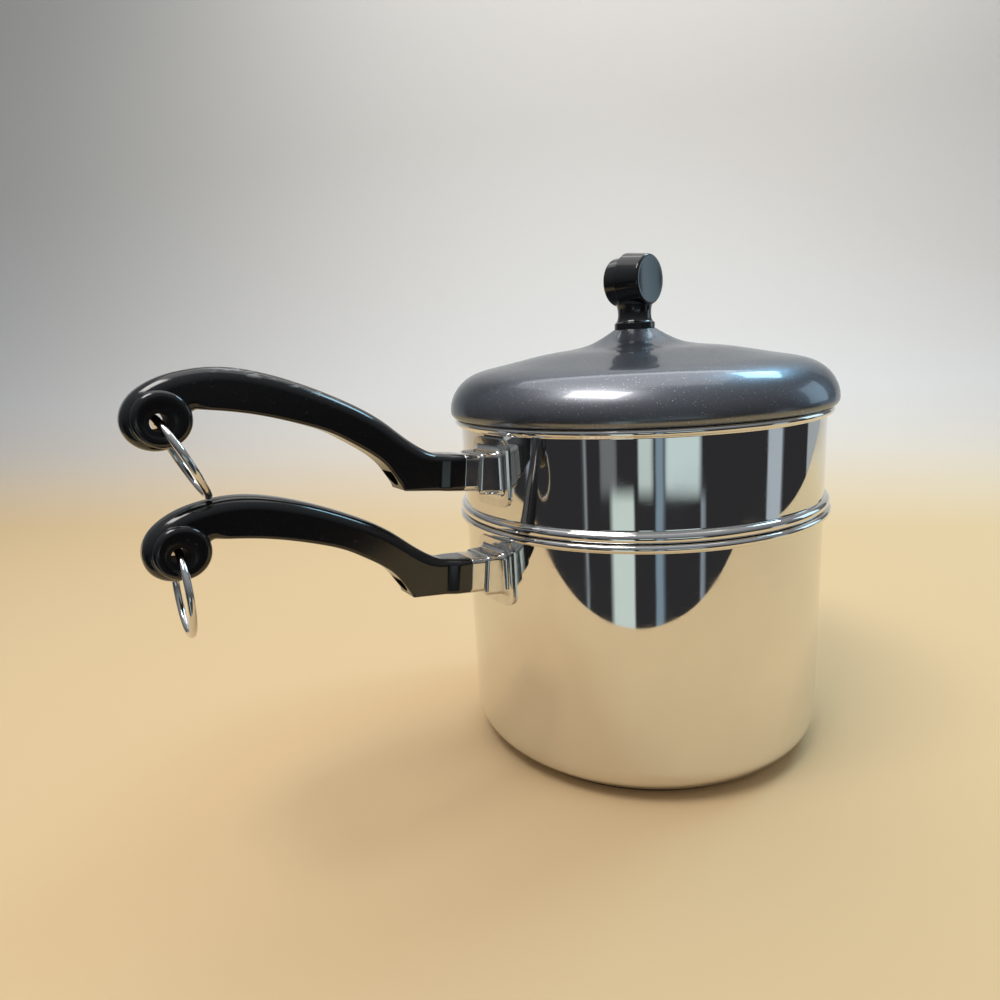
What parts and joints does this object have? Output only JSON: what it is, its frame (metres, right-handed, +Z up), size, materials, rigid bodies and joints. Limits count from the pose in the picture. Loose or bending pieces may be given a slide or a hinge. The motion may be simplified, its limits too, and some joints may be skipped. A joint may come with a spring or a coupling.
{
  "type": "double boiler",
  "caption": "Stovetop double boiler: lower water pan, nested upper pan, domed lid with barrel knob, and curled stick handles with hanging rings.",
  "frame": {"origin": "centre of the flat base, on the pans' common axis, where the object stands on its surface", "axes": "+Z up along the pans' axis; -X towards the handles; +Y to the left of a person who stands behind the handles and looks along them at the pans"},
  "size_m": [0.3011, 0.1732, 0.2228],
  "materials": {
    "pan_steel": "mirror-polished stainless steel",
    "lid_steel": "polished stainless steel with a soft sheen",
    "bracket_steel": "polished stainless steel",
    "ring_steel": "polished steel wire",
    "base_aluminium": "dull dark aluminium",
    "black_phenolic": "glossy black moulded phenolic",
    "fastener_steel": "zinc-plated steel",
    "insert_brass": "turned brass"
  },
  "bodies": {
    "lower_pan_body": {"base_cladding": "base_aluminium", "lower_pan": "pan_steel", "lower_bracket": "bracket_steel", "lower_bracket_nut": "fastener_steel", "lower_ferrule": "bracket_steel", "lower_handle": "black_phenolic", "lower_handle_washer": "fastener_steel", "lower_handle_screw": "fastener_steel"},
    "lower_ring_body": {"lower_hanging_ring": "ring_steel"},
    "upper_pan_body": {"upper_pan": "pan_steel", "upper_bracket": "bracket_steel", "upper_bracket_nut": "fastener_steel", "upper_ferrule": "bracket_steel", "upper_handle": "black_phenolic", "upper_handle_washer": "fastener_steel", "upper_handle_screw": "fastener_steel"},
    "upper_ring_body": {"upper_hanging_ring": "ring_steel"},
    "lid_body": {"lid": "lid_steel", "knob": "black_phenolic", "knob_insert": "insert_brass", "knob_washer": "fastener_steel", "knob_screw": "fastener_steel"}
  },
  "joints": [
    {"name": "upper_pan_lift", "type": "slide", "parent": "lower_pan_body", "child": "upper_pan_body", "axis": [0, 0, 1], "range_m": [0, 0.12]},
    {"name": "lid_lift", "type": "slide", "parent": "upper_pan_body", "child": "lid_body", "axis": [0, 0, 1], "range_m": [0, 0.1]},
    {"name": "lower_ring_swing", "type": "hinge", "parent": "lower_pan_body", "child": "lower_ring_body", "pos_m": [-0.20406, 0, 0.12531], "axis": [0, -1, 0], "range_deg": [-120, 78]},
    {"name": "upper_ring_swing", "type": "hinge", "parent": "upper_pan_body", "child": "upper_ring_body", "pos_m": [-0.20406, 0, 0.16771], "axis": [0, -1, 0], "range_deg": [0, 53]}
  ]
}
